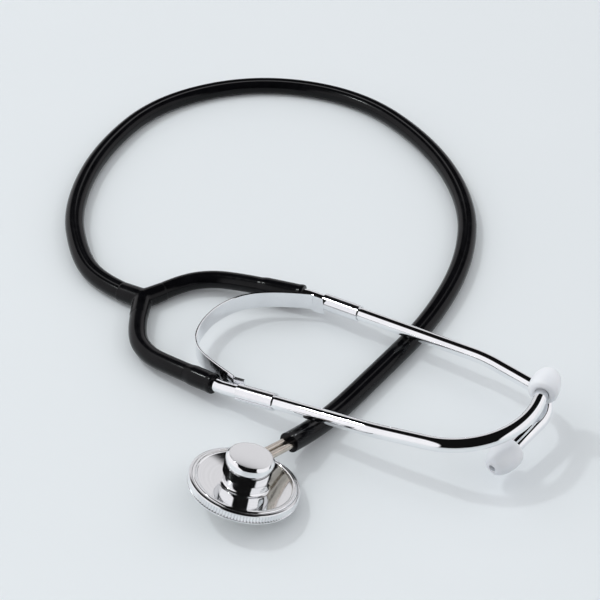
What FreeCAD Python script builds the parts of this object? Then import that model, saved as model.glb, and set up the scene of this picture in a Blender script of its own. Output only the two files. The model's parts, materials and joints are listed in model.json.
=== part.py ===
import FreeCAD, Part
import math
import os
import Sketcher

Vector = FreeCAD.Vector
doc = FreeCAD.newDocument("stethoscope")

# ---------------------------------------------------------------- sizes, in millimetres and degrees
SIZES = [
    ("hose_radius", 3.8),
    ("hose_bore", 2.9),
    ("leg_radius", 3.5),
    ("leg_bore", 1.7),
    ("cuff_radius", 4.0),
    ("cuff_round", 0.7),
    ("cuff_left_length", 13.5),
    ("cuff_right_length", 20.0),
    ("tube_radius", 2.65),
    ("tube_bore", 2.0),
    ("fit_gap", 0.05),
    ("sleeve_wall", 0.7),
    ("sleeve_left_length", 15.9),
    ("sleeve_right_length", 16.4),
    ("sleeve_slot", 1.1),
    ("tab_length", 6.4),
    ("band_width", 8.0),
    ("band_thickness", 0.7),
    ("tip_radius", 5.9),
    ("tip_length", 13.5),
    ("tip_grip", 8.0),
    ("tip_hole", 1.4),
    ("stem_radius", 1.3),
    ("stem_bore", 0.8),
    ("stem_pitch", 3.0),
    ("stem_reach", 22.5),
    ("stem_in_hose", 14.0),
    ("stem_height", 11.4),
    ("drum_radius", 8.8),
    ("drum_height", 7.8),
    ("drum_chamfer", 0.9),
    ("neck_radius", 7.5),
    ("neck_top", 6.85),
    ("dish_neck", 2.4),
    ("dish_edge", 3.7),
    ("dish_radius", 17.1),
    ("cap_radius", 7.7),
    ("cap_height", 0.5),
    ("ring_radius", 20.2),
    ("ring_height", 3.9),
    ("ring_seat", 19.1),
    ("ring_lip", 17.0),
    ("lip_height", 0.7),
    ("knurl_depth", 0.28),
    ("knurl_count", 110),
    ("diaphragm_radius", 18.8),
    ("diaphragm_thickness", 0.4),
    ("chest_tilt", 18.0),
]
sheet = doc.addObject("Spreadsheet::Sheet", "sizes")
for row, (name, value) in enumerate(SIZES, 1):
    sheet.set("A%d" % row, name)
    sheet.set("B%d" % row, str(value))
    sheet.setAlias("B%d" % row, name)
doc.recompute()


def size(name):
    return float(getattr(sheet, name))


def total(*terms):
    """A number and the expression it is bound to, from sheet names and plain numbers."""
    value = 0.0
    words = []
    for term in terms:
        if isinstance(term, str):
            minus = term.startswith("-")
            name = term.lstrip("-")
            value += -size(name) if minus else size(name)
            words.append(("- " if minus else "+ ") + "sizes." + name)
        else:
            value += term
            words.append("%s %s" % ("-" if term < 0 else "+", abs(term)))
    return value, " ".join(words)[2:] if words[0][0] == "+" else " ".join(words)


# ---------------------------------------------------------------- layout, in the part's own frame
TILT = math.radians(size("chest_tilt"))
LEAN_WAY = math.radians(44.0)
STEM_WAY = math.radians(50.0)
CHEST_X = -31.1
CHEST_Y = -49.5
EDGE = 0.3
chest_normal = Vector(
    math.sin(TILT) * math.cos(LEAN_WAY), math.sin(TILT) * math.sin(LEAN_WAY), math.cos(TILT)
)
chest_centre = Vector(CHEST_X, CHEST_Y, (size("ring_radius") - EDGE) * math.sin(TILT))
stem_flat = Vector(math.cos(STEM_WAY), math.sin(STEM_WAY), 0)
stem_way = Vector(stem_flat)
stem_way.z = -stem_flat.dot(chest_normal) / chest_normal.z
stem_way.normalize()
stem_side = chest_normal.cross(stem_way)
chest_turn = FreeCAD.Rotation(stem_way, stem_side, chest_normal, "ZXY")
chest_place = FreeCAD.Placement(chest_centre, chest_turn)
stem_start = chest_centre + chest_normal * size("stem_height")
hose_end = stem_start + stem_way * size("stem_reach")

YOKE = Vector(-75.6, 56.1, 4.4)
HOSE_START = Vector(-82.6, 60.3, 3.9)
HOSE_ROUTE = [
    HOSE_START,
    Vector(-94.8, 68.0, 3.9),
    Vector(-105.3, 85.0, 3.9),
    Vector(-112.8, 119.5, 3.9),
    Vector(-104.8, 164.5, 3.9),
    Vector(-79.8, 206.5, 3.9),
    Vector(-31.8, 225.0, 3.9),
    Vector(19.2, 210.5, 3.9),
    Vector(51.2, 168.5, 3.9),
    Vector(64.7, 122.5, 3.9),
    Vector(59.7, 81.5, 3.9),
    Vector(42.2, 43.0, 3.9),
    Vector(19.7, 13.0, 3.9),
    hose_end + stem_way * 20.0,
    hose_end,
]
LEFT_TUBE = [
    Vector(-54.5, 9.6, 6.8),
    Vector(-40.5, 0.2, 8.0),
    Vector(15.0, -31.4, 17.4),
    Vector(62.5, -54.5, 25.6),
    Vector(79.4, -13.9, 24.6),
]
LEFT_BENDS = [15.0, 120.0, 30.0]
RIGHT_TUBE = [
    Vector(-27.8, 61.5, 7.0),
    Vector(-7.0, 53.6, 8.2),
    Vector(60.0, 10.0, 14.0),
    Vector(86.0, -13.5, 14.0),
    Vector(60.9, -40.7, 11.6),
]
RIGHT_BENDS = [15.0, 60.0, 14.0]
BAND_ROUTE = [
    (-45.2, 10.4),
    (-53.2, 18.5),
    (-50.5, 33.5),
    (-40.5, 47.0),
    (-26.0, 52.0),
]
BAND_MID = 9.15
TAB_START = 3.5
ROOT_GAP = 0.2
SLEEVE_AFTER_TAB = 4.2


def round_route(points, radii=None):
    """Straight runs joined by tangent arcs."""
    edges = []
    radii_used = []
    last = points[0]
    for i in range(1, len(points) - 1):
        back = points[i - 1] - points[i]
        ahead = points[i + 1] - points[i]
        shorter = min(back.Length, ahead.Length)
        back.normalize()
        ahead.normalize()
        turn = math.pi - back.getAngle(ahead)
        if radii is None:
            reach = 0.45 * shorter
            radius = reach / math.tan(turn / 2)
        else:
            radius = radii[i - 1]
            reach = radius * math.tan(turn / 2)
        start = points[i] + back * reach
        end = points[i] + ahead * reach
        inward = back + ahead
        inward.normalize()
        middle = points[i] + inward * (radius / math.cos(turn / 2) - radius)
        edges.append(Part.makeLine(last, start))
        edges.append(Part.Arc(start, middle, end).toShape())
        radii_used.append(round(radius, 1))
        last = end
    edges.append(Part.makeLine(last, points[-1]))
    return Part.Wire(edges), radii_used


def looking(way, side=None):
    """A turn that takes Z to way and keeps X near side."""
    z = Vector(way)
    z.normalize()
    near = Vector(side) if side is not None else Vector(0, 0, 1)
    x = near - z * near.dot(z)
    x.normalize()
    return FreeCAD.Rotation(x, z.cross(x), z, "ZXY")


def spine(name, wire):
    route = doc.addObject("Part::Feature", name)
    route.Shape = wire
    return route


def swept(name, route, start, way, radius):
    ring = doc.addObject("Part::Circle", name + "_section")
    ring.setExpression("Radius", radius)
    ring.Placement = FreeCAD.Placement(start, looking(way))
    sweep = doc.addObject("Part::Sweep", name)
    sweep.Sections = [ring]
    sweep.Spine = (route, ["Edge%d" % (i + 1) for i in range(len(route.Shape.Edges))])
    sweep.Solid = True
    sweep.Frenet = False
    return sweep


def tube(label, wire, start, way, outer, inner):
    route = spine(label + "_route", wire)
    doc.recompute()
    solid = swept(label + "_outer", route, start, way, outer)
    bore = swept(label + "_bore", route, start, way, inner)
    cut = doc.addObject("Part::Cut", label)
    cut.Base = solid
    cut.Tool = bore
    cut.Label = label
    return cut


def cylinder(name, radius, height, place):
    made = doc.addObject("Part::Cylinder", name)
    made.setExpression("Radius", radius)
    made.setExpression("Height", height)
    made.Placement = place
    return made


def box(name, length, width, height, place):
    made = doc.addObject("Part::Box", name)
    made.setExpression("Length", length)
    made.setExpression("Width", width)
    made.setExpression("Height", height)
    made.Placement = place
    return made


def cut(name, base, tool):
    made = doc.addObject("Part::Cut", name)
    made.Base = base
    made.Tool = tool
    return made


def fuse(name, pieces):
    made = doc.addObject("Part::MultiFuse", name)
    made.Shapes = pieces
    return made


def revolved(label, corners, place):
    """A body turned about its own Z from (radius, height) corners, each bound to the sheet."""
    body = doc.addObject("PartDesign::Body", label)
    body.Label = label
    sketch = body.newObject("Sketcher::SketchObject", label + "_profile")
    planes = [o for o in body.Origin.OriginFeatures if "XZ_Plane" in o.Name or "XZ_Plane" in o.Label]
    sketch.AttachmentSupport = (planes[0], [""])
    sketch.MapMode = "FlatFace"
    doc.recompute()
    values = [(x[0], z[0]) for x, z in corners]
    lines = []
    for i, here in enumerate(values):
        there = values[(i + 1) % len(values)]
        lines.append(
            sketch.addGeometry(
                Part.LineSegment(Vector(here[0], here[1], 0), Vector(there[0], there[1], 0)), False
            )
        )
    for i, line in enumerate(lines):
        sketch.addConstraint(
            Sketcher.Constraint("Coincident", line, 2, lines[(i + 1) % len(lines)], 1)
        )
    for line, (x, z) in zip(lines, corners):
        for kind, axis, (value, words) in (("DistanceX", -2, x), ("DistanceY", -1, z)):
            if abs(value) < 1e-9:
                sketch.addConstraint(Sketcher.Constraint("PointOnObject", line, 1, axis))
                continue
            k = sketch.addConstraint(Sketcher.Constraint(kind, -1, 1, line, 1, value))
            if "sizes." in words:
                sketch.setExpression("Constraints[%d]" % k, words)
    doc.recompute()
    turned = body.newObject("PartDesign::Revolution", label + "_turned")
    turned.Profile = sketch
    turned.ReferenceAxis = (sketch, ["V_Axis"])
    turned.Angle = 360
    body.Tip = turned
    body.Placement = place
    doc.recompute()
    return body


final = []

# ---------------------------------------------------------------- hose, yoke and legs
hose_wire, hose_bends = round_route(HOSE_ROUTE)
hose = tube(
    "hose",
    hose_wire,
    HOSE_ROUTE[0],
    HOSE_ROUTE[1] - HOSE_ROUTE[0],
    "sizes.hose_radius",
    "sizes.hose_bore",
)
final.append(hose)

left_out = LEFT_TUBE[1] - LEFT_TUBE[0]
left_out.normalize()
right_out = RIGHT_TUBE[1] - RIGHT_TUBE[0]
right_out.normalize()
LEG_GAP = 0.1
LEFT_LEG = [
    YOKE + Vector(-0.6, -8.5, -0.1),
    Vector(-76.9, 34.0, 4.3),
    Vector(-71.0, 21.9, 4.8),
    LEFT_TUBE[0] - left_out * 8,
    LEFT_TUBE[0] - left_out * LEG_GAP,
]
RIGHT_LEG = [
    YOKE + Vector(6.4, 3.9, -0.1),
    Vector(-60.5, 66.0, 4.6),
    Vector(-48.0, 67.8, 5.6),
    RIGHT_TUBE[0] - right_out * 8,
    RIGHT_TUBE[0] - right_out * LEG_GAP,
]


def leg(label, points):
    wire, bends = round_route(points)
    print(label, "bends", bends, "length", round(wire.Length, 1))
    return tube(
        label, wire, points[0], points[1] - points[0], "sizes.leg_radius", "sizes.leg_bore"
    )


final.append(leg("left_leg", LEFT_LEG))
final.append(leg("right_leg", RIGHT_LEG))

arms = []
for name, end, wide, narrow in (
    ("yoke_hose_arm", HOSE_START, 0.4, "sizes.hose_radius + 0.1"),
    ("yoke_left_arm", LEFT_LEG[0], 0.2, "sizes.leg_radius + 0.1"),
    ("yoke_right_arm", RIGHT_LEG[0], 0.2, "sizes.leg_radius + 0.1"),
):
    arm = doc.addObject("Part::Cone", name)
    arm.setExpression("Radius1", "sizes.hose_radius + %s" % wide)
    arm.setExpression("Radius2", narrow)
    arm.Height = (end - YOKE).Length
    arm.Placement = FreeCAD.Placement(YOKE, looking(end - YOKE))
    arms.append(arm)
ball = doc.addObject("Part::Sphere", "yoke_ball")
ball.setExpression("Radius", "sizes.hose_radius + 0.45")
ball.Placement.Base = YOKE
yoke = fuse("yoke", arms + [ball])
yoke.Label = "yoke"
final.append(yoke)

# ---------------------------------------------------------------- ear tubes, cuffs, sleeves, band
for label, route, bends in (
    ("left_ear_tube", LEFT_TUBE, LEFT_BENDS),
    ("right_ear_tube", RIGHT_TUBE, RIGHT_BENDS),
):
    wire, used = round_route(route, bends)
    final.append(
        tube(label, wire, route[0], route[1] - route[0], "sizes.tube_radius", "sizes.tube_bore")
    )


def cuff(label, start, way, length):
    bore = total("tube_radius", 0.02)
    out = total("cuff_radius")
    rounded = total("cuff_radius", "-cuff_round")
    corners = [
        (bore, total(0)),
        (total("cuff_radius", -0.4), total(0)),
        (out, total("cuff_round")),
        (out, total(length, "-cuff_round")),
        (rounded, total(length)),
        (bore, total(length)),
    ]
    return revolved(label, corners, FreeCAD.Placement(start, looking(way)))


final.append(cuff("left_cuff", LEFT_TUBE[0], left_out, "cuff_left_length"))
final.append(cuff("right_cuff", RIGHT_TUBE[0], right_out, "cuff_right_length"))


def sleeve(label, corner, far, inward, length):
    """A leaf end: a flat tab that runs into a rolled sleeve with an open seam."""
    way = far - corner
    way.normalize()
    turn = looking(way, inward)
    side = turn.multVec(Vector(1, 0, 0))
    up = turn.multVec(Vector(0, 1, 0))
    tab_at = corner + way * TAB_START
    roll_at = tab_at + way * SLEEVE_AFTER_TAB
    outer = "sizes.tube_radius + sizes.fit_gap + sizes.sleeve_wall"
    inner = "sizes.tube_radius + sizes.fit_gap"
    face = size("tube_radius") + size("fit_gap") + size("sleeve_wall") - size("band_thickness")
    roll = cylinder(label + "_roll", outer, "sizes." + length, FreeCAD.Placement(roll_at, turn))
    tab = box(
        label + "_tab",
        "sizes.band_thickness",
        "sizes.band_width",
        "sizes.tab_length",
        FreeCAD.Placement(tab_at - way + side * face - up * (size("band_width") / 2), turn),
    )
    bore = cylinder(
        label + "_bore",
        inner,
        "sizes.%s + 20" % length,
        FreeCAD.Placement(tab_at - way * 2, turn),
    )
    slot = box(
        label + "_slot",
        "sizes.tube_radius + 4",
        "sizes.sleeve_slot",
        "sizes.%s + 20" % length,
        FreeCAD.Placement(
            roll_at - way * 5 - up * (size("sleeve_slot") / 2) - side * (size("tube_radius") + 5),
            turn,
        ),
    )
    flat = looking(Vector(way.x, way.y, 0), inward)
    back = flat.multVec(Vector(0, 0, 1))
    trim = box(
        label + "_trim",
        "20",
        "30",
        "6",
        FreeCAD.Placement(
            tab_at - flat.multVec(Vector(10, 15, 0)) - back * (6 - ROOT_GAP), flat
        ),
    )
    open_roll = cut(label + "_open", fuse(label + "_solid", [roll, tab]), bore)
    made = cut(label, cut(label + "_trimmed", open_roll, trim), slot)
    made.Label = label
    return made


def inward_of(route, sign):
    way = route[2] - route[1]
    return Vector(-way.y * sign, way.x * sign, 0)


final.append(
    sleeve(
        "left_spring_sleeve",
        LEFT_TUBE[1],
        LEFT_TUBE[2],
        inward_of(LEFT_TUBE, 1),
        "sleeve_left_length",
    )
)
final.append(
    sleeve(
        "right_spring_sleeve",
        RIGHT_TUBE[1],
        RIGHT_TUBE[2],
        inward_of(RIGHT_TUBE, -1),
        "sleeve_right_length",
    )
)


def tab_root(corner, far, inward):
    """Where the leaf meets a sleeve's tab, halfway through its thickness."""
    way = far - corner
    way.normalize()
    side = looking(way, inward).multVec(Vector(1, 0, 0))
    middle = size("tube_radius") + size("fit_gap") + size("sleeve_wall") - size("band_thickness") / 2
    return corner + way * TAB_START + side * (middle + 0.15)


left_root = tab_root(LEFT_TUBE[1], LEFT_TUBE[2], inward_of(LEFT_TUBE, 1))
right_root = tab_root(RIGHT_TUBE[1], RIGHT_TUBE[2], inward_of(RIGHT_TUBE, -1))
band_plan = [(left_root.x, left_root.y)] + BAND_ROUTE + [(right_root.x, right_root.y)]
band_points = [Vector(x, y, BAND_MID - size("band_width") / 2) for x, y in band_plan]
band_wire, band_bends = round_route(band_points)
shift = size("band_thickness") / 2
band_sides = [band_wire.makeOffset2D(way, openResult=True) for way in (shift, -shift)]


def ends_of(wire):
    ordered = wire.OrderedVertexes
    return ordered[0].Point, ordered[-1].Point


near_start, near_end = ends_of(band_sides[0])
far_start, far_end = ends_of(band_sides[1])
if near_start.distanceToPoint(far_start) > near_start.distanceToPoint(far_end):
    far_start, far_end = far_end, far_start
band_edges = band_sides[0].Edges + band_sides[1].Edges
band_edges.append(Part.makeLine(near_start, far_start))
band_edges.append(Part.makeLine(near_end, far_end))
band_area = doc.addObject("Part::Feature", "band_area")
band_area.Shape = Part.Face(Part.Wire(Part.__sortEdges__(band_edges)))
print("leaf ends", left_root, right_root, "strip ends", near_start, far_start, near_end, far_end)
doc.recompute()
band = doc.addObject("Part::Extrusion", "leaf_spring")
band.Base = band_area
band.DirMode = "Custom"
band.Dir = Vector(0, 0, 1)
band.setExpression("LengthFwd", "sizes.band_width")
band.Solid = True
band.Label = "leaf_spring"
final.append(band)


# ---------------------------------------------------------------- ear tips
def ear_tip(label, end, way):
    grip = total("tube_radius", "fit_gap")
    corners = [
        (grip, total(0)),
        (total("tip_radius", -1.6), total(0)),
        (total("tip_radius", -0.7), total(0.35)),
        (total("tip_radius", -0.1), total(1.6)),
        (total("tip_radius"), total(3.2)),
        (total("tip_radius", -0.15), total(5.0)),
        (total("tip_radius", -0.7), total(7.0)),
        (total("tip_radius", -1.5), total(9.0)),
        (total("tip_radius", -2.4), total(10.8)),
        (total("tip_radius", -3.3), total("tip_length", -1.0)),
        (total("tip_radius", -4.0), total("tip_length")),
        (total("tip_hole"), total("tip_length")),
        (total("tip_hole"), total("tip_grip")),
        (grip, total("tip_grip")),
    ]
    way = Vector(way)
    way.normalize()
    start = end - way * (size("tip_grip") - 0.4)
    return revolved(label, corners, FreeCAD.Placement(start, looking(way)))


final.append(ear_tip("left_ear_tip", LEFT_TUBE[-1], LEFT_TUBE[-1] - LEFT_TUBE[-2]))
final.append(ear_tip("right_ear_tip", RIGHT_TUBE[-1], RIGHT_TUBE[-1] - RIGHT_TUBE[-2]))

# ---------------------------------------------------------------- chestpiece
seat_gap = 0.08
under = total("lip_height", "diaphragm_thickness", 0.1)
body_corners = [
    (total(1.5), total("lip_height", "diaphragm_thickness", 0.55)),
    (total("ring_lip", -1.6), total("lip_height", "diaphragm_thickness", 0.45)),
    (total("ring_lip", -0.8), under),
    (total("ring_seat", -seat_gap), under),
    (total("ring_seat", -seat_gap), total("ring_height", 0.05)),
    (total("ring_seat", -0.45), total("ring_height", 0.4)),
    (total("ring_seat", -1.0), total("ring_height", 0.4)),
    (total("ring_seat", -1.3), total("ring_height", 0.05)),
    (total("ring_seat", -1.7), total("ring_height", 0.05)),
    (total("dish_radius"), total("dish_edge")),
    (total("neck_radius", 1.1), total("dish_neck")),
    (total("neck_radius", 0.35), total("dish_neck", 0.3)),
    (total("neck_radius"), total("dish_neck", 1.0)),
    (total("neck_radius"), total("neck_top")),
    (total(1.5), total("neck_top")),
]
final.append(revolved("chestpiece_body", body_corners, chest_place))

film = doc.addObject("Part::Cylinder", "diaphragm")
film.setExpression("Radius", "sizes.diaphragm_radius")
film.setExpression("Height", "sizes.diaphragm_thickness")
film.Placement = FreeCAD.Placement(
    chest_centre + chest_normal * (size("lip_height") + 0.02), chest_turn
)
film.Label = "diaphragm"
final.append(film)

ring_corners = [
    (total("ring_lip"), total(0)),
    (total("ring_radius", -EDGE), total(0)),
    (total("ring_radius"), total(EDGE)),
    (total("ring_radius"), total("ring_height", -0.45)),
    (total("ring_radius", -0.45), total("ring_height")),
    (total("ring_seat"), total("ring_height")),
    (total("ring_seat"), total("lip_height")),
    (total("ring_lip"), total("lip_height")),
]
ring = revolved("retaining_ring", ring_corners, chest_place)
notch = ring.newObject("Sketcher::SketchObject", "knurl_profile")
planes = [o for o in ring.Origin.OriginFeatures if "XY_Plane" in o.Name or "XY_Plane" in o.Label]
notch.AttachmentSupport = (planes[0], [""])
notch.MapMode = "FlatFace"
doc.recompute()
half = 0.32
rim = size("ring_radius")
deep = rim - size("knurl_depth")
tri = [Vector(deep, 0, 0), Vector(rim + 0.2, half, 0), Vector(rim + 0.2, -half, 0)]
for i in range(3):
    notch.addGeometry(Part.LineSegment(tri[i], tri[(i + 1) % 3]), False)
for i in range(3):
    notch.addConstraint(Sketcher.Constraint("Coincident", i, 2, (i + 1) % 3, 1))
notch.addConstraint(Sketcher.Constraint("PointOnObject", 0, 1, -1))
k = notch.addConstraint(Sketcher.Constraint("DistanceX", -1, 1, 0, 1, deep))
notch.setExpression("Constraints[%d]" % k, "sizes.ring_radius - sizes.knurl_depth")
notch.addConstraint(Sketcher.Constraint("Symmetric", 1, 1, 1, 2, -1))
k = notch.addConstraint(Sketcher.Constraint("DistanceX", -1, 1, 1, 1, rim + 0.2))
notch.setExpression("Constraints[%d]" % k, "sizes.ring_radius + 0.2")
notch.addConstraint(Sketcher.Constraint("DistanceY", 1, 2, 1, 1, 2 * half))
doc.recompute()
before = ring.Shape.Volume
groove = ring.newObject("PartDesign::Pocket", "knurl_groove")
groove.Profile = notch
groove.Type = "Length"
groove.setExpression("Length", "sizes.ring_height - 0.8")
groove.Reversed = True
ring.Tip = groove
doc.recompute()
after = ring.Shape.Volume
print("one groove takes", round(before - after, 4), "mm3")
if before - after <= 0:
    raise RuntimeError("the groove missed the ring")
many = ring.newObject("PartDesign::PolarPattern", "knurl_pattern")
many.Originals = [groove]
axes = [o for o in ring.Origin.OriginFeatures if "Z_Axis" in o.Name or "Z_Axis" in o.Label]
many.Axis = (axes[0], [""])
many.Angle = 360
many.setExpression("Occurrences", "sizes.knurl_count")
ring.Tip = many
doc.recompute()
print("all grooves take", round(before - ring.Shape.Volume, 3), "mm3")
final.append(ring)

hub_corners = [
    (total(0), total("neck_top")),
    (total("drum_radius", -0.3), total("neck_top")),
    (total("drum_radius"), total("neck_top", 0.3)),
    (total("drum_radius"), total("neck_top", "drum_height", "-drum_chamfer")),
    (total("drum_radius", "-drum_chamfer"), total("neck_top", "drum_height")),
    (total("cap_radius", 0.02), total("neck_top", "drum_height")),
    (total("cap_radius", 0.02), total("neck_top", "drum_height", "-cap_height")),
    (total(0), total("neck_top", "drum_height", "-cap_height")),
]
drum = revolved("stem_hub_turned", hub_corners, chest_place)
sockets = []
for name, sign in (("left", 1), ("right", -1)):
    off = stem_side * (sign * size("stem_pitch") / 2)
    socket_at = stem_start + off + stem_way * 4.0
    place = FreeCAD.Placement(socket_at, looking(stem_way))
    sockets.append(cylinder(name + "_socket", "sizes.stem_radius + 0.02", "8", place))
    wall = cylinder(
        name + "_stem_wall",
        "sizes.stem_radius",
        "sizes.stem_reach + sizes.stem_in_hose - 4",
        place,
    )
    way_through = cylinder(
        name + "_stem_bore",
        "sizes.stem_bore",
        "sizes.stem_reach + sizes.stem_in_hose - 4",
        place,
    )
    stem = cut(name + "_stem", wall, way_through)
    stem.Label = name + "_stem"
    final.append(stem)
hub = cut("stem_hub", cut("stem_hub_half", drum, sockets[0]), sockets[1])
hub.Label = "stem_hub"
final.append(hub)

lid = doc.addObject("Part::Cylinder", "hub_cap")
lid.setExpression("Radius", "sizes.cap_radius")
lid.setExpression("Height", "sizes.cap_height")
lid.Placement = FreeCAD.Placement(
    chest_centre
    + chest_normal * (size("neck_top") + size("drum_height") - size("cap_height")),
    chest_turn,
)
lid.Label = "hub_cap"
final.append(lid)

# ---------------------------------------------------------------- checks and export
doc.recompute()
for thing in doc.Objects:
    if "Invalid" in thing.State or "Error" in " ".join(thing.State):
        raise RuntimeError("%s is %s" % (thing.Name, thing.State))
    if hasattr(thing, "Shape") and thing.TypeId not in ("App::Origin",):
        shape = thing.Shape
        if thing.TypeId.startswith("App::"):
            continue
        if shape.isNull() or not shape.isValid():
            raise RuntimeError("%s has no valid shape" % thing.Name)
area = math.pi * (size("hose_radius") ** 2 - size("hose_bore") ** 2)
print("hose bends", hose_bends)
print("hose length", round(hose_wire.Length, 1), "volume", round(hose.Shape.Volume, 1))
print("section x length", round(area * hose_wire.Length, 1))
print("band bends", band_bends)
print("leaf off its route", round(band.Shape.distToShape(band_wire)[0], 3))
os.makedirs("parts", exist_ok=True)
box_all = FreeCAD.BoundBox()
box_firm = FreeCAD.BoundBox()
for piece in final:
    if len(piece.Shape.Solids) != 1:
        raise RuntimeError("%s has %d solids" % (piece.Label, len(piece.Shape.Solids)))
    piece.Shape.exportStep("parts/%s.step" % piece.Label)
    b = piece.Shape.BoundBox
    box_all.add(b)
    if piece.Label != "hose":
        box_firm.add(b)
    print("%-22s %9.2f mm3" % (piece.Label, piece.Shape.Volume))
print("whole", box_all)
print("chest", chest_centre, chest_normal, "side", stem_side, "stems", stem_way)
print("left hook", LEFT_TUBE[-2:], "right hook", RIGHT_TUBE[-2:])
print("without the hose", box_firm, "centre", box_firm.Center)
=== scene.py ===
import json
import math

import bmesh
import bpy
from mathutils import Matrix, Vector


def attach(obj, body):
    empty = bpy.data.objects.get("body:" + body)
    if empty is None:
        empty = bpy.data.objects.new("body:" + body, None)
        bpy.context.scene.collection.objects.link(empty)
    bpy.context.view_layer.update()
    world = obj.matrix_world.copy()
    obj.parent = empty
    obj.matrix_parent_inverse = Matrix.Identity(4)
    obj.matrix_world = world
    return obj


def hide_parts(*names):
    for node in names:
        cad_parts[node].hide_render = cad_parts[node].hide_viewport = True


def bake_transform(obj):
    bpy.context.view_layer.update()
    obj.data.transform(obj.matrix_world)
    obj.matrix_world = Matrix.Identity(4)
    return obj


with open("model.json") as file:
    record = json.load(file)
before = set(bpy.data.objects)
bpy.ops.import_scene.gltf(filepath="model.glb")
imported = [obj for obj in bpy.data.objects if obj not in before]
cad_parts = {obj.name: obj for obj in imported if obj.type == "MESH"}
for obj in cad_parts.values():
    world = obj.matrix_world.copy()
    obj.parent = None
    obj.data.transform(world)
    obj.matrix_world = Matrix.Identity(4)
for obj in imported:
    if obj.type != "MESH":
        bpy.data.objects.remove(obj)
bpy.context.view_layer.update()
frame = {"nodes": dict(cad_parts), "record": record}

MM = 0.001


def mm(x, y, z):
    return Vector((x, y, z)) * MM


# ---------------------------------------------------------------- the chestpiece's own axes
joints = {j["name"]: j for j in frame["record"]["behaviour"]["joints"]}
CHEST = Vector(joints["ring_turn"]["pos_m"])
NORMAL = Vector(joints["ring_turn"]["axis"]).normalized()
STEM_WAY = Vector((math.cos(math.radians(50)), math.sin(math.radians(50)), 0))
STEM_WAY.z = -STEM_WAY.dot(NORMAL) / NORMAL.z
STEM_WAY.normalize()
SIDE = NORMAL.cross(STEM_WAY)
STEM_HEIGHT = 11.4 * MM
STEM_REACH = 22.5 * MM
HOSE_END = CHEST + NORMAL * STEM_HEIGHT + STEM_WAY * STEM_REACH

# ---------------------------------------------------------------- routes, the same as the CAD part's
YOKE = mm(-75.6, 56.1, 4.3)
HOSE_ROUTE = [
    mm(-82.6, 60.3, 3.9),
    mm(-94.8, 68.0, 3.8),
    mm(-105.3, 85.0, 3.8),
    mm(-112.8, 119.5, 3.8),
    mm(-104.8, 164.5, 3.8),
    mm(-79.8, 206.5, 3.8),
    mm(-31.8, 225.0, 3.8),
    mm(19.2, 210.5, 3.8),
    mm(51.2, 168.5, 3.8),
    mm(64.7, 122.5, 3.8),
    mm(59.7, 81.5, 3.8),
    mm(42.2, 43.0, 3.8),
    mm(19.7, 13.0, 3.8),
    HOSE_END + STEM_WAY * 20 * MM,
    HOSE_END,
]
LEFT_TUBE = [
    mm(-54.5, 9.6, 6.8),
    mm(-40.5, 0.2, 8.0),
    mm(15.0, -31.4, 17.4),
    mm(62.5, -54.5, 25.6),
    mm(79.4, -13.9, 24.6),
]
LEFT_BENDS = [15.0, 120.0, 30.0]
RIGHT_TUBE = [
    mm(-27.8, 61.5, 7.0),
    mm(-7.0, 53.6, 8.2),
    mm(60.0, 10.0, 14.0),
    mm(86.0, -13.5, 14.0),
    mm(60.9, -40.7, 11.6),
]
RIGHT_BENDS = [15.0, 60.0, 14.0]
LEFT_OUT = (LEFT_TUBE[1] - LEFT_TUBE[0]).normalized()
RIGHT_OUT = (RIGHT_TUBE[1] - RIGHT_TUBE[0]).normalized()
LEFT_LEG = [
    YOKE + mm(-0.6, -8.5, 0),
    mm(-76.9, 34.0, 4.3),
    mm(-71.0, 21.9, 4.8),
    LEFT_TUBE[0] - LEFT_OUT * 8 * MM,
    LEFT_TUBE[0],
]
RIGHT_LEG = [
    YOKE + mm(6.4, 3.9, 0),
    mm(-60.5, 66.0, 4.6),
    mm(-48.0, 67.8, 5.6),
    RIGHT_TUBE[0] - RIGHT_OUT * 8 * MM,
    RIGHT_TUBE[0],
]
BAND_HEIGHT = 9.15
BAND = [
    mm(-35.9, 1.2, BAND_HEIGHT),
    mm(-45.2, 10.4, BAND_HEIGHT),
    mm(-53.2, 18.5, BAND_HEIGHT),
    mm(-50.5, 33.5, BAND_HEIGHT),
    mm(-40.5, 47.0, BAND_HEIGHT),
    mm(-26.0, 52.0, BAND_HEIGHT),
    mm(-5.8, 49.0, BAND_HEIGHT),
]

# ---------------------------------------------------------------- camera
VIEW_RISE = math.radians(40.7)
VIEW_FAR = 0.590
VIEW_AT = mm(-10.8, 60.5, 0)
camera = bpy.data.objects.new("camera", bpy.data.cameras.new("camera"))
camera.data.lens = 84.96
camera.data.sensor_width = 36
camera.location = VIEW_AT + VIEW_FAR * Vector((0, -math.cos(VIEW_RISE), math.sin(VIEW_RISE)))
camera.rotation_euler = (math.pi / 2 - VIEW_RISE, 0, 0)
bpy.context.collection.objects.link(camera)
bpy.context.scene.camera = camera


# ---------------------------------------------------------------- mesh helpers
def add(name, mesh, smooth=True):
    made = bpy.data.objects.new(name, mesh)
    bpy.context.collection.objects.link(made)
    for face in mesh.polygons:
        face.use_smooth = smooth
    return made


def mesh_of(name, points, faces):
    mesh = bpy.data.meshes.new(name)
    mesh.from_pydata([tuple(p) for p in points], [], faces)
    mesh.update()
    return mesh


def spline_line(name, points, steps=16, order=3):
    """The smooth line that the route's points control."""
    curve = bpy.data.curves.new(name, "CURVE")
    curve.dimensions = "3D"
    spline = curve.splines.new("NURBS")
    spline.points.add(len(points) - 1)
    for target, p in zip(spline.points, points):
        target.co = (*p, 1)
    spline.order_u = order
    spline.use_endpoint_u = True
    spline.resolution_u = steps
    holder = bpy.data.objects.new(name, curve)
    mesh = bpy.data.meshes.new_from_object(holder)
    line = [v.co.copy() for v in mesh.vertices]
    bpy.data.objects.remove(holder)
    bpy.data.curves.remove(curve)
    bpy.data.meshes.remove(mesh)
    return line


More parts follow.
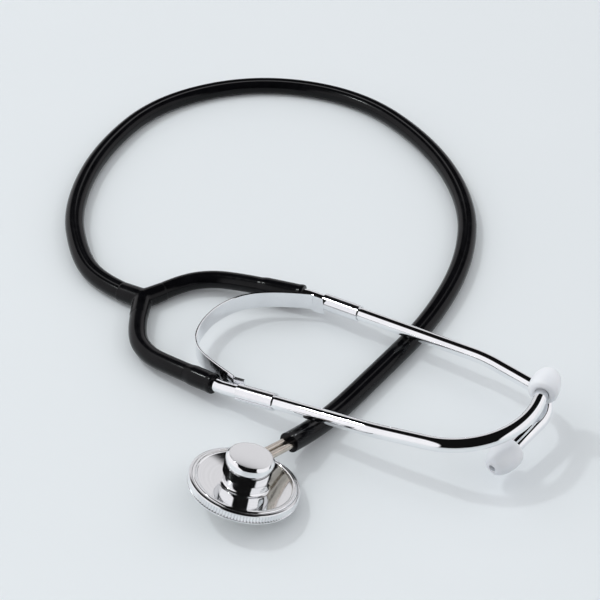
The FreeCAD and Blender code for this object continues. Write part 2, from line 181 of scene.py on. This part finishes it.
def bent_line(points, radii, step=1.0 * MM):
    """Straight runs joined by tangent arcs, as a tube bender makes them; radii in millimetres."""
    line = [points[0]]
    for i, radius in enumerate(radii, 1):
        back = (points[i - 1] - points[i]).normalized()
        ahead = (points[i + 1] - points[i]).normalized()
        turn = math.pi - back.angle(ahead)
        radius = radius * MM
        reach = radius * math.tan(turn / 2)
        start = points[i] + back * reach
        centre = points[i] + (back + ahead).normalized() * radius / math.cos(turn / 2)
        axis = (-back).cross(ahead).normalized()
        count = max(6, int(turn * radius / step))
        for k in range(count + 1):
            line.append(centre + Matrix.Rotation(turn * k / count, 3, axis) @ (start - centre))
    line.append(points[-1])
    return line


def sweep(name, line, section, first_side):
    """A closed section of (side, up) offsets in metres, carried along line and capped at both ends."""
    side = first_side
    rings = []
    points = []
    faces = []
    for i, here in enumerate(line):
        ahead = line[min(i + 1, len(line) - 1)] - line[max(i - 1, 0)]
        ahead.normalize()
        side = (side - ahead * side.dot(ahead)).normalized()
        up = ahead.cross(side)
        ring = [here + side * a + up * b for a, b in section]
        rings.append(range(len(points), len(points) + len(ring)))
        points += ring
    n = len(rings[0])
    for one, two in zip(rings, rings[1:]):
        for k in range(n):
            faces.append((one[k], one[(k + 1) % n], two[(k + 1) % n], two[k]))
    faces.append(tuple(reversed(rings[0])))
    faces.append(tuple(rings[-1]))
    return mesh_of(name, points, faces)


def turns_of(count):
    """Equal angles round one full turn."""
    return [2 * math.pi * k / count for k in range(count)]


def circle(radius, count):
    return [(radius * math.cos(a), radius * math.sin(a)) for a in turns_of(count)]


LIP_SHARE = 0.22  # of the wall, rounded off at each lip


def hollow(name, line, outer, inner, first_side, count=40):
    """A tube with a real wall and small rounded lips."""
    r = LIP_SHARE * (outer - inner)
    start, end = line[0], line[-1]
    lip_in = (line[1] - start).normalized() * r
    lip_out = (line[-2] - end).normalized() * r
    path = [start, start + lip_in] + line[1:-1] + [end + lip_out, end]
    last = len(path) - 1
    radii = [outer] * len(path)
    radii[0] = radii[last] = outer - r
    path = path + list(reversed(path))
    radii = radii + [inner + r] + [inner] * (last - 1) + [inner + r]
    turns = turns_of(count)
    side = first_side
    points = []
    frames = []
    for i in range(last + 1):
        ahead = (path[min(i + 1, last)] - path[max(i - 1, 0)]).normalized()
        side = (side - ahead * side.dot(ahead)).normalized()
        frames.append((side.copy(), ahead.cross(side)))
    frames += list(reversed(frames))
    for here, radius, (side, up) in zip(path, radii, frames):
        points += [here + (side * math.cos(a) + up * math.sin(a)) * radius for a in turns]
    rings = len(path)
    faces = []
    for i in range(rings):
        for k in range(count):
            j = (i + 1) % rings
            m = (k + 1) % count
            faces.append((i * count + k, i * count + m, j * count + m, j * count + k))
    return mesh_of(name, points, faces)


def rounded(corners, cuts=4):
    """A closed outline whose corners (x, z, radius), in millimetres, are rounded."""
    out = []
    count = len(corners)
    for i, (x, z, radius) in enumerate(corners):
        here = Vector((x, z))
        back = Vector(corners[i - 1][:2]) - here
        ahead = Vector(corners[(i + 1) % count][:2]) - here
        if radius <= 0:
            out.append(here)
            continue
        reach = min(radius, 0.45 * back.length, 0.45 * ahead.length)
        a = here + back.normalized() * reach
        b = here + ahead.normalized() * reach
        for k in range(cuts + 1):
            t = k / cuts
            out.append((1 - t) ** 2 * a + 2 * t * (1 - t) * here + t * t * b)
    return out


def lathe(name, outline, place, count=128):
    """A closed (radius, height) outline in millimetres turned about its own Z, set down at place."""
    points = []
    faces = []
    n = len(outline)
    for a in turns_of(count):
        points += [Vector((x * math.cos(a), x * math.sin(a), z)) * MM for x, z in outline]
    for k in range(count):
        j = (k + 1) % count
        for i in range(n):
            m = (i + 1) % n
            faces.append((k * n + i, j * n + i, j * n + m, k * n + m))
    mesh = mesh_of(name, points, faces)
    work = bmesh.new()
    work.from_mesh(mesh)
    bmesh.ops.remove_doubles(work, verts=work.verts, dist=1e-6)
    bmesh.ops.recalc_face_normals(work, faces=work.faces)
    work.to_mesh(mesh)
    work.free()
    made = add(name, mesh)
    made.matrix_world = place
    return made


def axes_at(origin, z, x=None):
    """A place whose Z runs along z, and whose X is as near to x (or else upright) as it can be."""
    z = z.normalized()
    near = x if x is not None else Vector((0, 0, 1))
    x = (near - z * near.dot(z)).normalized()
    turn = Matrix((x, z.cross(x), z)).transposed()
    return Matrix.Translation(origin) @ turn.to_4x4()


def creased(made, angle=35):
    """Smooth shading that keeps real edges crisp."""
    made.data.set_sharp_from_angle(angle=math.radians(angle))
    return made


# ---------------------------------------------------------------- materials
def material(name, **sockets):
    made = bpy.data.materials.new(name)
    made.use_nodes = True
    tree = made.node_tree
    shader = tree.nodes["Principled BSDF"]
    for key, value in sockets.items():
        shader.inputs[key.replace("_", " ")].default_value = value
    return made, tree, shader


def noise(tree, scale, detail=4.0, roughness=0.55):
    where = tree.nodes.new("ShaderNodeTexCoord")
    node = tree.nodes.new("ShaderNodeTexNoise")
    node.inputs["Scale"].default_value = scale
    node.inputs["Detail"].default_value = detail
    node.inputs["Roughness"].default_value = roughness
    tree.links.new(where.outputs["Object"], node.inputs["Vector"])
    return node.outputs["Fac"]


def ramp(tree, source, low, high, start=0.3, end=0.7):
    node = tree.nodes.new("ShaderNodeMapRange")
    node.inputs["From Min"].default_value = start
    node.inputs["From Max"].default_value = end
    node.inputs["To Min"].default_value = low
    node.inputs["To Max"].default_value = high
    tree.links.new(source, node.inputs["Value"])
    return node.outputs["Result"]


def tint(tree, source, one, two, start=0.3, end=0.7):
    node = tree.nodes.new("ShaderNodeMix")
    node.data_type = "RGBA"
    node.inputs["A"].default_value = (*one, 1)
    node.inputs["B"].default_value = (*two, 1)
    tree.links.new(ramp(tree, source, 0, 1, start, end), node.inputs["Factor"])
    return node.outputs["Result"]


def bump(tree, shader, source, strength, distance):
    node = tree.nodes.new("ShaderNodeBump")
    node.inputs["Strength"].default_value = strength
    node.inputs["Distance"].default_value = distance
    tree.links.new(source, node.inputs["Height"])
    tree.links.new(node.outputs["Normal"], shader.inputs["Normal"])


def vinyl():
    made, tree, shader = material("black_vinyl", Specular_IOR_Level=0.18)
    cloud = noise(tree, 160)
    colour = tint(tree, cloud, (0.0015, 0.0015, 0.002), (0.004, 0.004, 0.005))
    tree.links.new(colour, shader.inputs["Base Color"])
    tree.links.new(ramp(tree, noise(tree, 420), 0.14, 0.22), shader.inputs["Roughness"])
    bump(tree, shader, noise(tree, 900, 3), 0.05, 0.00006)
    return made


def plated(name, one, two, low, high, scale=90, pits=0.03):
    made, tree, shader = material(name, Metallic=1.0)
    tree.links.new(tint(tree, noise(tree, scale), one, two), shader.inputs["Base Color"])
    tree.links.new(ramp(tree, noise(tree, scale * 3), low, high), shader.inputs["Roughness"])
    bump(tree, shader, noise(tree, 1500, 2), pits, 0.00004)
    return made


def radius_of(tree):
    """Distance from the piece's own axis."""
    where = tree.nodes.new("ShaderNodeTexCoord")
    flat = tree.nodes.new("ShaderNodeVectorMath")
    flat.operation = "MULTIPLY"
    flat.inputs[1].default_value = (1, 1, 0)
    tree.links.new(where.outputs["Object"], flat.inputs[0])
    length = tree.nodes.new("ShaderNodeVectorMath")
    length.operation = "LENGTH"
    tree.links.new(flat.outputs["Vector"], length.inputs[0])
    return length.outputs["Value"]


def turned(name, one, two, low, high, pitch, depth):
    """Metal faced on a lathe: fine rings round the piece's own axis."""
    made, tree, shader = material(name, Metallic=1.0)
    rings = tree.nodes.new("ShaderNodeTexNoise")
    rings.noise_dimensions = "1D"
    rings.inputs["Scale"].default_value = 1 / pitch
    rings.inputs["Detail"].default_value = 6
    rings.inputs["Roughness"].default_value = 0.7
    tree.links.new(radius_of(tree), rings.inputs["W"])
    fac = rings.outputs["Fac"]
    tree.links.new(tint(tree, fac, one, two), shader.inputs["Base Color"])
    tree.links.new(ramp(tree, fac, low, high), shader.inputs["Roughness"])
    bump(tree, shader, fac, depth, 0.00006)
    return made


def plastic(name, one, two, low, high, subsurface):
    made, tree, shader = material(name)
    shader.inputs["Subsurface Weight"].default_value = subsurface
    shader.inputs["Subsurface Radius"].default_value = (0.0015, 0.0014, 0.0013)
    tree.links.new(tint(tree, noise(tree, 120), one, two), shader.inputs["Base Color"])
    tree.links.new(ramp(tree, noise(tree, 500), low, high), shader.inputs["Roughness"])
    bump(tree, shader, noise(tree, 1400, 3), 0.06, 0.00006)
    return made


VINYL = vinyl()
CHROME = plated("ear_tube_chrome", (0.86, 0.87, 0.89), (0.92, 0.93, 0.94), 0.01, 0.03, pits=0.01)
STEEL = plated("spring_steel", (0.80, 0.81, 0.83), (0.88, 0.89, 0.91), 0.08, 0.16, pits=0.06)
NICKEL = plated("nickel", (0.55, 0.50, 0.44), (0.68, 0.63, 0.57), 0.14, 0.26)
DISH = turned("polished_aluminium", (0.86, 0.87, 0.88), (0.91, 0.92, 0.93), 0.05, 0.10, 0.0009, 0.012)
HUB = plated("hub_chrome", (0.86, 0.87, 0.88), (0.92, 0.92, 0.93), 0.03, 0.06, pits=0.015)
HUB_TOP = turned("hub_top", (0.86, 0.87, 0.88), (0.92, 0.93, 0.94), 0.14, 0.20, 0.0007, 0.015)
KNURL = plated("knurled_metal", (0.80, 0.81, 0.83), (0.90, 0.91, 0.92), 0.10, 0.20, pits=0.08)
WHITE = plastic("ear_tip_plastic", (0.80, 0.82, 0.86), (0.86, 0.88, 0.91), 0.30, 0.42, 0.25)
FILM = plastic("diaphragm_plastic", (0.72, 0.72, 0.68), (0.80, 0.80, 0.76), 0.25, 0.40, 0.10)


def paint(made, look):
    made.data.materials.clear()
    made.data.materials.append(look)


# ---------------------------------------------------------------- black tubing
HOSE_WIDE = 8.3 * MM
HOSE_HIGH = 7.0 * MM
HOSE_SQUARENESS = 0.86
VALLEY_DEPTH = 0.55 * MM
VALLEY_WIDTH = 0.95 * MM
LEG_RADIUS = 3.7 * MM


def twin_section():
    """Two bores' walls run together: an oval with a soft valley along its top and its underside."""
    out = []
    for a in turns_of(48):
        x = HOSE_WIDE / 2 * math.cos(a)
        y = HOSE_HIGH / 2 * math.copysign(abs(math.sin(a)) ** HOSE_SQUARENESS, math.sin(a))
        valley = VALLEY_DEPTH * math.exp(-((x / VALLEY_WIDTH) ** 2))
        out.append((x, y - math.copysign(valley, math.sin(a))))
    return out


hose_line = spline_line("hose_line", HOSE_ROUTE, 14)
tangent = (hose_line[1] - hose_line[0]).normalized()
flat_side = tangent.cross(Vector((0, 0, 1))).normalized()
hose = creased(add("twin_hose", sweep("twin_hose", hose_line, twin_section(), flat_side)), 40)
paint(hose, VINYL)
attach(hose, "tubing")
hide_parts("hose")


def leg(name, points, first_side):
    line = spline_line(name + "_line", points, 12)
    made = creased(add(name, sweep(name, line, circle(LEG_RADIUS, 40), first_side)), 40)
    paint(made, VINYL)
    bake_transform(made)
    return made


left_leg = leg("left_leg_skin", LEFT_LEG, Vector((1, 0, 0)))
right_leg = leg("right_leg_skin", RIGHT_LEG, Vector((0, 0, 1)))
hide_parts("left_leg")
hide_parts("right_leg")


def moulded_yoke():
    """The three branches run together in one smooth web."""
    work = bmesh.new()
    branches = (
        (HOSE_ROUTE[0], 3.0, 4.12, 4.45, 1.06, 0.93),
        (LEFT_LEG[0], 2.5, 3.86, 4.1, 1.0, 1.0),
        (RIGHT_LEG[0], 2.5, 3.86, 4.1, 1.0, 1.0),
    )
    for far, more, thin, thick, wide, high in branches:
        way = far - YOKE
        way += way.normalized() * more * MM
        place = axes_at(YOKE + way / 2, way) @ Matrix.Diagonal((high, wide, 1, 1))
        bmesh.ops.create_cone(
            work,
            cap_ends=True,
            segments=48,
            radius1=thick * MM,
            radius2=thin * MM,
            depth=way.length,
            matrix=place,
        )
    bmesh.ops.create_icosphere(
        work, subdivisions=4, radius=4.25 * MM, matrix=Matrix.Translation(YOKE)
    )
    mesh = bpy.data.meshes.new("moulded_yoke")
    work.to_mesh(mesh)
    work.free()
    made = add("moulded_yoke", mesh)
    skin = made.modifiers.new("skin", "REMESH")
    skin.mode = "VOXEL"
    skin.voxel_size = 0.30 * MM
    skin.use_smooth_shade = True
    ease = made.modifiers.new("ease", "SMOOTH")
    ease.iterations = 14
    ease.factor = 0.6
    paint(made, VINYL)
    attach(made, "tubing")
    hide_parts("yoke")


moulded_yoke()


def cuff(name, start, way, length, body, node):
    """The leg's mouth, stretched over the ear tube, with a rolled lip."""
    outline = rounded(
        [
            (2.68, 0.0, 0),
            (3.66, 0.0, 0.1),
            (3.76, 1.2, 0.8),
            (4.08, 3.2, 1.2),
            (4.02, 0.55 * length, 3.0),
            (3.95, length - 2.6, 1.0),
            (4.12, length - 1.5, 0.6),
            (4.02, length - 0.2, 0.35),
            (2.68, length, 0.3),
        ]
    )
    made = creased(lathe(name, outline, axes_at(start, way), 96), 40)
    paint(made, VINYL)
    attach(made, body)
    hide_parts(node)


cuff("left_cuff_skin", LEFT_TUBE[0], LEFT_OUT, 13.5, "left_arm", "left_cuff")
cuff("right_cuff_skin", RIGHT_TUBE[0], RIGHT_OUT, 20.0, "right_arm", "right_cuff")

# ---------------------------------------------------------------- headset metal
TUBE_OUTER = 2.65 * MM
TUBE_INNER = 2.0 * MM


def ear_tube(name, points, radii, body, node):
    line = bent_line(points, radii)
    mesh = hollow(name, line, TUBE_OUTER, TUBE_INNER, Vector((0, 0, 1)))
    made = creased(add(name, mesh), 50)
    paint(made, CHROME)
    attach(made, body)
    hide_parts(node)


ear_tube("left_tube_bent", LEFT_TUBE, LEFT_BENDS, "left_arm", "left_ear_tube")
ear_tube("right_tube_bent", RIGHT_TUBE, RIGHT_BENDS, "right_arm", "right_ear_tube")


def strip():
    """The leaf's section: thin, tall, with eased edges."""
    thick, tall, ease = 0.35 * MM, 4.0 * MM, 0.22 * MM
    return [
        (-thick, -tall + ease),
        (-thick + ease, -tall),
        (thick - ease, -tall),
        (thick, -tall + ease),
        (thick, tall - ease),
        (thick - ease, tall),
        (-thick + ease, tall),
        (-thick, tall - ease),
    ]


def leaf_half(name, line):
    """Half of the leaf, from the bow's middle to its sleeve."""
    way = (line[1] - line[0]).normalized()
    side = way.cross(Vector((0, 0, 1))).normalized()
    made = creased(add(name, sweep(name, line, strip(), side)), 30)
    paint(made, STEEL)
    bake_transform(made)
    return made


band_line = spline_line("band_line", BAND, 14, 4)
BOW_MIDDLE = mm(-51.6, 24.0, BAND_HEIGHT)
apex = min(range(len(band_line)), key=lambda i: (band_line[i] - BOW_MIDDLE).length)
left_half = leaf_half("leaf_left_half", band_line[apex::-1])
leaf_half("leaf_right_half", band_line[apex:])
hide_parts("leaf_spring")
for node in ("left_spring_sleeve", "right_spring_sleeve"):
    paint(frame["nodes"][node], STEEL)


# ---------------------------------------------------------------- ear tips
TIP_SOCKET = 8.0
TIP_SLACK = 0.4


def ear_tip(name, end, way, body, node):
    outline = rounded(
        [
            (2.68, 0.25, 0.1),
            (3.6, 0.0, 0.5),
            (5.0, 0.7, 1.0),
            (5.75, 2.6, 1.8),
            (5.7, 6.2, 2.4),
            (4.9, 9.6, 2.4),
            (3.5, 12.2, 1.8),
            (1.3, 12.9, 0.5),
            (1.3, TIP_SOCKET, 0),
            (2.68, TIP_SOCKET, 0),
        ],
        8,
    )
    place = axes_at(end - way * (TIP_SOCKET - TIP_SLACK) * MM, way)
    made = creased(lathe(name, outline, place, 96), 50)
    paint(made, WHITE)
    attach(made, body)
    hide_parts(node)


LEFT_WAY = (LEFT_TUBE[-1] - LEFT_TUBE[-2]).normalized()
RIGHT_WAY = (RIGHT_TUBE[-1] - RIGHT_TUBE[-2]).normalized()
ear_tip("left_tip_moulded", LEFT_TUBE[-1], LEFT_WAY, "left_tip", "left_ear_tip")
ear_tip("right_tip_moulded", RIGHT_TUBE[-1], RIGHT_WAY, "right_tip", "right_ear_tip")

# ---------------------------------------------------------------- chestpiece
CHEST_PLACE = axes_at(CHEST, NORMAL, STEM_WAY)


def dish():
    outline = rounded(
        [
            (1.5, 1.65, 0),
            (15.4, 1.55, 0.3),
            (16.2, 1.2, 0.2),
            (19.0, 1.2, 0.1),
            (19.0, 4.0, 0.2),
            (18.7, 4.35, 0.3),
            (18.05, 4.35, 0.3),
            (17.8, 3.95, 0.15),
            (17.45, 3.95, 0.15),
            (17.1, 3.70, 0.4),
            (12.5, 2.95, 2.0),
            (8.9, 2.42, 1.2),
            (7.5, 3.1, 0.9),
            (7.5, 6.85, 0.1),
            (1.5, 6.85, 0),
        ],
        5,
    )
    made = creased(lathe("chest_dish", outline, CHEST_PLACE, 192), 40)
    paint(made, DISH)
    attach(made, "tubing")
    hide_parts("chestpiece_body")


KNURLS = 110
KNURL_STEPS = 6  # points round each knurl
KNURL_DEPTH = 0.42


def knurled_ring():
    """The ring's wall carries a fine straight knurl between two plain lips."""
    heights = [0.0, 0.28, 0.62, 0.75, 3.05, 3.18, 3.45, 3.72, 3.9]
    radii = [19.92, 20.2, 20.2, 20.15, 20.15, 20.2, 20.2, 20.05, 19.7]
    knurled = {3, 4}
    steps = KNURLS * KNURL_STEPS
    points = []
    faces = []
    for row, (z, r) in enumerate(zip(heights, radii)):
        for k, a in enumerate(turns_of(steps)):
            phase = (k % KNURL_STEPS) / KNURL_STEPS
            cut = KNURL_DEPTH * (1 - abs(2 * phase - 1)) if row in knurled else 0
            points.append(Vector(((r - cut) * math.cos(a), (r - cut) * math.sin(a), z)) * MM)
    bore = ((3.9, 19.1), (0.7, 19.1), (0.7, 17.0), (0.0, 17.0))
    for z, r in bore:
        points += [Vector((r * math.cos(a), r * math.sin(a), z)) * MM for a in turns_of(steps)]
    rows = len(heights) + len(bore)
    for i in range(rows):
        j = (i + 1) % rows
        for k in range(steps):
            m = (k + 1) % steps
            faces.append((i * steps + k, i * steps + m, j * steps + m, j * steps + k))
    made = add("knurled_ring", mesh_of("knurled_ring", points, faces))
    made.matrix_world = CHEST_PLACE
    creased(made, 28)
    paint(made, KNURL)
    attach(made, "ring")
    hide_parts("retaining_ring")


def hub():
    base, top = 6.85, 14.65
    outline = rounded(
        [
            (0.0, base, 0),
            (8.8, base, 0.3),
            (8.8, top - 1.0, 0.4),
            (7.9, top, 0.25),
            (7.7, top, 0),
            (7.7, top - 0.5, 0),
            (0.0, top - 0.5, 0),
        ]
    )
    made = creased(lathe("hub_drum", outline, CHEST_PLACE, 160), 40)
    paint(made, HUB)
    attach(made, "tubing")
    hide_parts("stem_hub")
    lid = rounded(
        [
            (0.0, top - 0.5, 0),
            (7.68, top - 0.5, 0),
            (7.68, top + 0.02, 0.12),
            (0.0, top + 0.04, 0),
        ]
    )
    cap = creased(lathe("hub_lid", lid, CHEST_PLACE, 160), 40)
    paint(cap, HUB_TOP)
    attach(cap, "tubing")
    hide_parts("hub_cap")


STEM_ROOT = 7.0 * MM
STEM_GRIP = 14 * MM
STEM_APART = 1.5 * MM
STEM_PIECES = 12


def stems():
    """Two stems from inside the hub to well inside the hose."""
    start = CHEST + NORMAL * STEM_HEIGHT + STEM_WAY * STEM_ROOT
    length = STEM_REACH + STEM_GRIP - STEM_ROOT
    for name, sign in (("left", 1), ("right", -1)):
        at = start + SIDE * sign * STEM_APART
        far = at + STEM_WAY * length
        line = [at.lerp(far, k / STEM_PIECES) for k in range(STEM_PIECES + 1)]
        mesh = hollow(name + "_stem_tube", line, 1.3 * MM, 0.8 * MM, NORMAL)
        made = creased(add(name + "_stem_tube", mesh), 50)
        paint(made, NICKEL)
        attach(made, "tubing")
        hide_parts(name + "_stem")


dish()
knurled_ring()
hub()
stems()
paint(frame["nodes"]["diaphragm"], FILM)


# ---------------------------------------------------------------- floor and light
def floor():
    size = 6.0
    corners = [(-size, -size, 0), (size, -size, 0), (size, size, 0), (-size, size, 0)]
    mesh = mesh_of("floor", corners, [(0, 1, 2, 3)])
    made = add("floor", mesh, smooth=False)
    look, tree, shader = material("table", Roughness=0.30, Specular_IOR_Level=0.45)
    colour = tint(tree, noise(tree, 3), (0.80, 0.835, 0.86), (0.82, 0.855, 0.88))
    tree.links.new(colour, shader.inputs["Base Color"])
    mesh.materials.append(look)


def softbox(name, at, target, wide, tall, watts, colour=(1, 1, 1), mirrored=True):
    light = bpy.data.lights.new(name, "AREA")
    light.shape = "RECTANGLE"
    light.size = wide
    light.size_y = tall
    light.energy = watts
    light.color = colour
    made = bpy.data.objects.new(name, light)
    made.visible_glossy = mirrored
    made.location = at
    made.rotation_euler = (target - at).to_track_quat("-Z", "Y").to_euler()
    bpy.context.collection.objects.link(made)


def between(tree, source, start, end):
    """0 before start and 1 past end, with a soft edge."""
    node = tree.nodes.new("ShaderNodeMapRange")
    node.interpolation_type = "SMOOTHSTEP"
    node.inputs["From Min"].default_value = start
    node.inputs["From Max"].default_value = end
    tree.links.new(source, node.inputs["Value"])
    return node.outputs["Result"]


def math_node(tree, operation, one, two):
    node = tree.nodes.new("ShaderNodeMath")
    node.operation = operation
    for slot, value in enumerate((one, two)):
        if isinstance(value, float):
            node.inputs[slot].default_value = value
        else:
            tree.links.new(value, node.inputs[slot])
    return node.outputs["Value"]


def studio(strength, tone):
    """A dark room with a tall panel at each side and a pale wall beyond the table."""
    world = bpy.data.worlds.new("studio")
    bpy.context.scene.world = world
    world.use_nodes = True
    tree = world.node_tree
    back = tree.nodes["Background"]
    where = tree.nodes.new("ShaderNodeTexCoord")
    split = tree.nodes.new("ShaderNodeSeparateXYZ")
    tree.links.new(where.outputs["Generated"], split.inputs["Vector"])
    x, y, z = split.outputs
    left = between(tree, x, -0.46, -0.52)
    right = between(tree, x, 0.60, 0.66)
    low = between(tree, z, 0.52, 0.44)
    wall = math_node(tree, "MULTIPLY", between(tree, y, 0.20, 0.32), low)
    right = math_node(tree, "MULTIPLY", right, 0.98)
    wall = math_node(tree, "MULTIPLY", wall, 0.76)
    panels = math_node(tree, "ADD", left, right)
    light = math_node(tree, "MAXIMUM", panels, wall)
    light = math_node(tree, "ADD", light, 0.006)
    tree.links.new(math_node(tree, "MULTIPLY", light, strength), back.inputs["Strength"])
    back.inputs["Color"].default_value = (*tone, 1)


floor()
TARGET = mm(-10, 50, 0)
KEY_WAY = Vector((-0.60, 0.20, 1.0)).normalized()
softbox("key", TARGET + KEY_WAY * 1.6, TARGET, 0.10, 0.10, 3.6, (0.95, 1.0, 1.0))
softbox("fill", TARGET + Vector((0, 0, 1.3)), TARGET, 3.2, 3.2, 25.5, (0.98, 1.0, 1.0), False)
studio(0.98, (1.0, 0.985, 1.01))
bpy.context.scene.view_settings.view_transform = "Standard"
